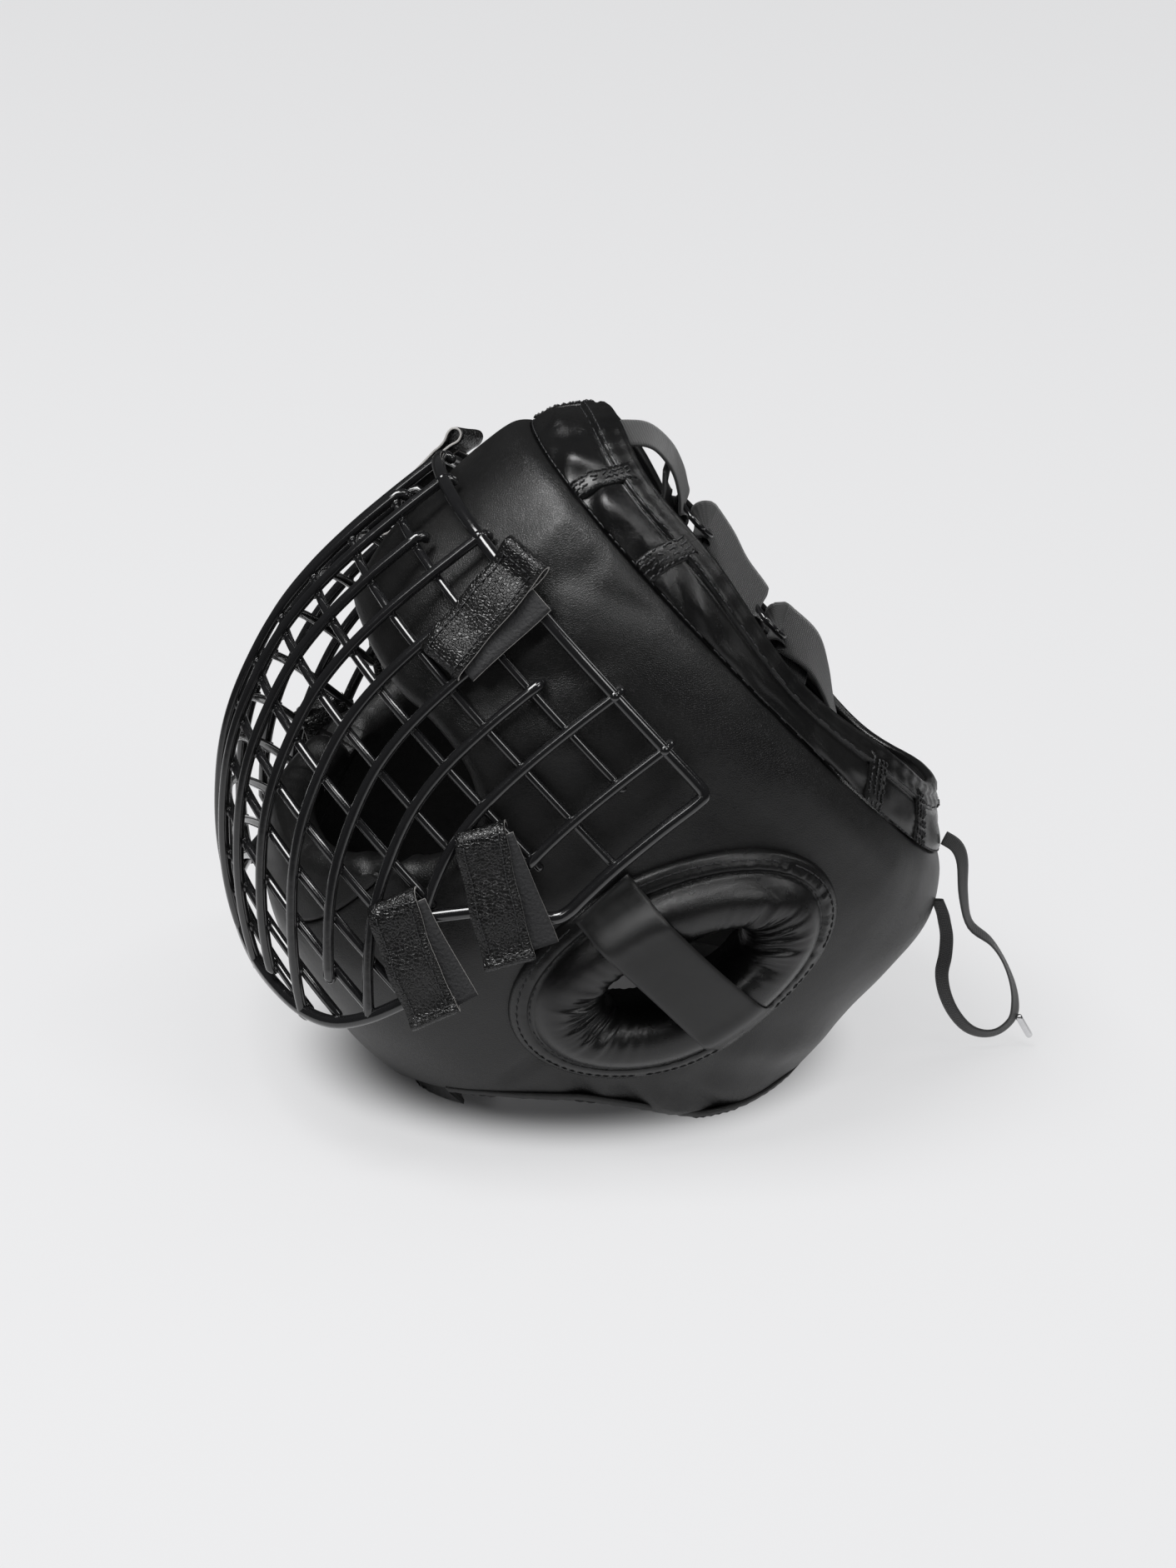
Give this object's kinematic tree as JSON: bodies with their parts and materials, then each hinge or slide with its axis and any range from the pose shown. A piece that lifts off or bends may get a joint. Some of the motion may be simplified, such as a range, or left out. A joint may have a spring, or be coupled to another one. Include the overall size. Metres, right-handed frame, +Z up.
{
  "type": "boxing headgear with wire visor",
  "caption": "Padded black leather boxing headgear with a curved wire visor, ear pads, closure tabs, gathered crown hem and elastic crown straps, lying tipped back on its neck rim.",
  "frame": {"origin": "on the floor under the middle of the gear, not counting the free lace", "axes": "+X to the wearer's left, -Y the way the visor faces, +Z up; the head axis is tipped back 47 degrees"},
  "size_m": [0.2514, 0.3671, 0.3028],
  "materials": {
    "leather": "fine-grained black leather with a soft sheen",
    "leather_trim": "plain black leather binding, slightly duller",
    "coated_wire": "satin black coated steel wire",
    "elastic": "ribbed black elastic webbing",
    "lace": "flat woven black lace",
    "bright_metal": "bright nickel wire rings and lace tip"
  },
  "bodies": {
    "root": {"padded_shell": "leather", "chin_cup": "leather", "neck_binding": "leather_trim", "crown_hem": "leather", "hem_loop_left_1": "leather_trim", "hem_loop_left_2": "leather_trim", "hem_loop_left_3": "leather_trim", "hem_loop_left_4": "leather_trim", "hem_loop_right_1": "leather_trim", "hem_loop_right_2": "leather_trim", "hem_loop_right_3": "leather_trim", "hem_loop_right_4": "leather_trim", "ear_pad_left": "leather", "ear_pad_right": "leather", "ear_strap_left": "leather_trim", "ear_strap_right": "leather_trim", "wire_visor": "coated_wire", "tab_top_left": "leather", "tab_top_right": "leather", "tab_middle_left": "leather", "tab_middle_right": "leather", "tab_bottom_left": "leather", "tab_bottom_right": "leather", "crown_strap_front": "elastic", "crown_strap_middle": "elastic", "crown_strap_rear": "elastic", "crown_ring_front": "bright_metal", "crown_ring_rear": "bright_metal", "lace": "lace", "lace_tip": "bright_metal"}
  },
  "joints": []
}
